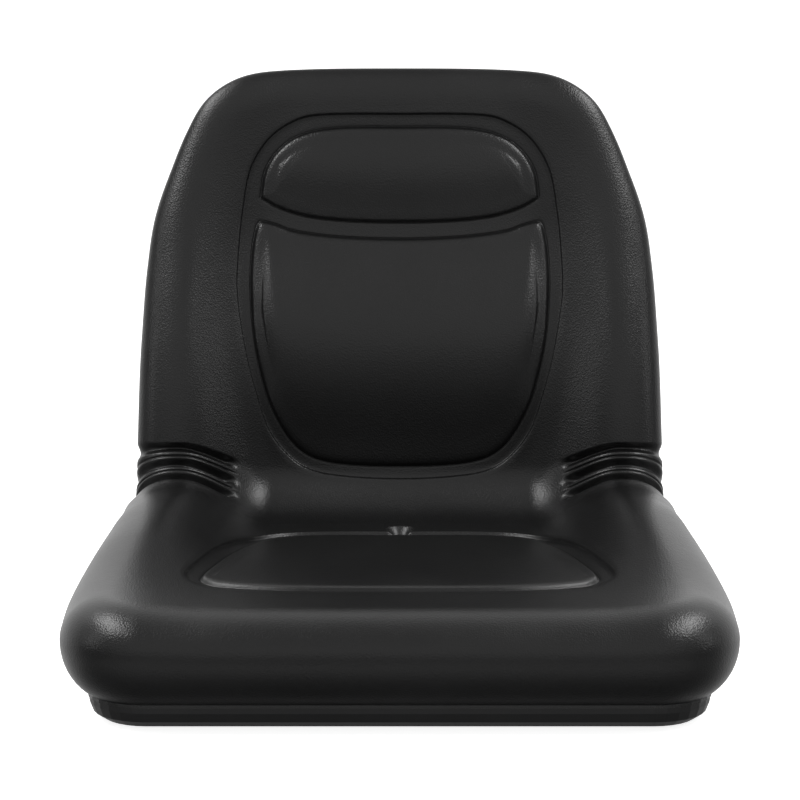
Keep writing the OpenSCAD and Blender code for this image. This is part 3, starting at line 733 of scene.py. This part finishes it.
# Hard materials: dark and light tint, least and most roughness, scale of the grain
PAN_PAINT = ((0.004, 0.004, 0.0042), (0.007, 0.007, 0.0072), 0.4, 0.5, 700.0)
TRIM_PLASTIC = ((0.006, 0.006, 0.0062), (0.009, 0.009, 0.0092), 0.25, 0.35, 900.0)
TUBE_PLASTIC = ((0.02, 0.02, 0.021), (0.03, 0.03, 0.03), 0.4, 0.5, 900.0)
PLATED_STEEL = ((0.5, 0.51, 0.54), (0.66, 0.67, 0.7), 0.25, 0.42, 1100.0)
dress(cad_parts["seat_pan"], plain("pan_paint", *PAN_PAINT))
dress(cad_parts["edge_trim"], plain("trim_plastic", *TRIM_PLASTIC))
dress(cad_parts["drain_tube"], plain("tube_plastic", *TUBE_PLASTIC))
plated = plain("plated_steel", *PLATED_STEEL, metallic=1.0)
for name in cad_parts:
    if name.startswith("nut_"):
        dress(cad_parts[name], plated)
for name in ("seat_pan", "edge_trim"):
    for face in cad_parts[name].data.polygons:
        face.use_smooth = True


# Stage: floor, lights, world and camera
FLOOR_HALF, FLOOR_Z, FLOOR_GLOW = 6.0, -0.0005, 0.85


def make_floor():
    bm = bmesh.new()
    bmesh.ops.create_grid(bm, x_segments=2, y_segments=2, size=FLOOR_HALF)
    mesh = bpy.data.meshes.new("floor")
    bm.to_mesh(mesh)
    bm.free()
    obj = bpy.data.objects.new("floor", mesh)
    obj.location = (0, 0, FLOOR_Z)
    bpy.context.scene.collection.objects.link(obj)
    obj.visible_glossy = False
    pale = plain("floor_pale", (0.80, 0.80, 0.80), (0.82, 0.82, 0.82), 0.7, 0.8, 40.0)
    shader = pale.node_tree.nodes["Principled BSDF"]
    shader.inputs["Emission Color"].default_value = (1, 1, 1, 1)
    shader.inputs["Emission Strength"].default_value = FLOOR_GLOW
    dress(obj, pale)


def soft_light(name, place, target, width, height, watts):
    data = bpy.data.lights.new(name, "AREA")
    data.shape = "RECTANGLE"
    data.size, data.size_y, data.energy = width, height, watts
    obj = bpy.data.objects.new(name, data)
    obj.location = place
    way = np.array(target, float) - np.array(place, float)
    turn = math.atan2(way[1], way[0]) - math.pi / 2
    obj.rotation_euler = (math.acos(-way[2] / np.linalg.norm(way)), 0, turn)
    bpy.context.scene.collection.objects.link(obj)
    return obj


# Soft lights of the right side: name, place, target, width, height and watts
SOFT_LIGHTS = (("overhead", (1.0, -0.2, 1.5), (0.3, -0.2, 0.1), 1.3, 0.45, 17),
               ("strip", (2.1, -0.6, 1.0), (0, 0, 0.3), 0.3, 1.2, 3))


def make_lights():
    for side in (-1, 1):
        for name, (x, y, z), (to_x, to_y, to_z), width, height, watts in SOFT_LIGHTS:
            soft_light(name, (side * x, y, z), (side * to_x, to_y, to_z), width, height, watts)


# Light of the room from front (0) to rear (1).
# In front a share of it is left, from straight down (0) to straight up (1): the wall there is dark.
# The floor hides what lies below the seat, at the rear as well.
ROOM_GREYS = ((0.0, 0.75), (0.3, 0.3), (0.5, 0.3), (0.8, 1.0), (1.0, 1.2))
FRONT_SHARES = ((0.0, 0.1), (0.2, 0.4), (0.34, 0.9), (0.44, 0.25), (0.52, 0.25), (0.62, 0.9), (1.0, 1.0))


def grey_ramp(tree, value, stops):
    n = tree.nodes.new("ShaderNodeValToRGB")
    n.color_ramp.elements.remove(n.color_ramp.elements[0])
    for k, (at, grey) in enumerate(stops):
        stop = n.color_ramp.elements[0] if k == 0 else n.color_ramp.elements.new(at)
        stop.position, stop.color = at, (grey, grey, grey, 1)
    tree.links.new(mapped(tree, value, -1, 1, 0, 1), n.inputs[0])
    return n.outputs[0]


def reckon(tree, operation, a, b):
    n = tree.nodes.new("ShaderNodeMath")
    n.operation = operation
    tree.links.new(a, n.inputs[0])
    tree.links.new(b, n.inputs[1])
    return n.outputs[0]


def backdrop(tree, strength):
    n = tree.nodes.new("ShaderNodeBackground")
    n.inputs["Color"].default_value = (1, 1, 1, 1)
    n.inputs["Strength"].default_value = strength
    return n


def make_world():
    world = bpy.data.worlds.new("studio")
    bpy.context.scene.world = world
    world.use_nodes = True
    tree = world.node_tree
    tree.nodes.clear()
    way = tree.nodes.new("ShaderNodeSeparateXYZ")
    tree.links.new(tree.nodes.new("ShaderNodeTexCoord").outputs["Generated"], way.inputs[0])
    at_rear = reckon(tree, "MINIMUM", mapped(tree, way.outputs["Y"], -0.3, 0.3, 0, 1),
                     mapped(tree, way.outputs["Z"], -0.35, -0.15, 0, 1))
    share = reckon(tree, "MAXIMUM", grey_ramp(tree, way.outputs["Z"], FRONT_SHARES), at_rear)
    seen, room = backdrop(tree, 1.0), backdrop(tree, 1.0)
    tree.links.new(reckon(tree, "MULTIPLY", grey_ramp(tree, way.outputs["Y"], ROOM_GREYS), share),
                   room.inputs["Strength"])
    mix = tree.nodes.new("ShaderNodeMixShader")
    tree.links.new(tree.nodes.new("ShaderNodeLightPath").outputs["Is Camera Ray"], mix.inputs[0])
    tree.links.new(room.outputs[0], mix.inputs[1])
    tree.links.new(seen.outputs[0], mix.inputs[2])
    tree.links.new(mix.outputs[0], tree.nodes.new("ShaderNodeOutputWorld").inputs["Surface"])


# The photograph's view: straight from the front, a little above, 1.3 pixels to the millimetre in front
VIEW_UP, VIEW_FAR, PX_PER_M, FRAME_PX, SENSOR = math.radians(11.5), 3.2, 1300.0, 800.0, 36.0
FRONT_PX, FRONT_LINE, SHIFT_PX, SEEN_TO = 732.9, 22.0, 0.2, 50.0


def make_camera():
    data = bpy.data.cameras.new("photo_view")
    obj = bpy.data.objects.new("photo_view", data)
    bpy.context.scene.collection.objects.link(obj)
    fwd = np.array([0, math.cos(VIEW_UP), -math.sin(VIEW_UP)])
    up = np.array([0, math.sin(VIEW_UP), math.cos(VIEW_UP)])
    aim = np.array([0, (FRONT_LINE - PATTERN_SETBACK) * MM, 0])
    obj.location = aim - fwd * VIEW_FAR + up * (FRONT_PX - FRAME_PX / 2) / PX_PER_M
    obj.rotation_euler = (math.pi / 2 - VIEW_UP, 0, 0)
    data.sensor_width = SENSOR
    data.lens = SENSOR * VIEW_FAR * PX_PER_M / FRAME_PX
    data.shift_x = SHIFT_PX / FRAME_PX
    data.clip_end = SEEN_TO
    bpy.context.scene.camera = obj


bpy.context.scene.view_settings.view_transform = "Standard"
make_floor()
make_lights()
make_world()
make_camera()
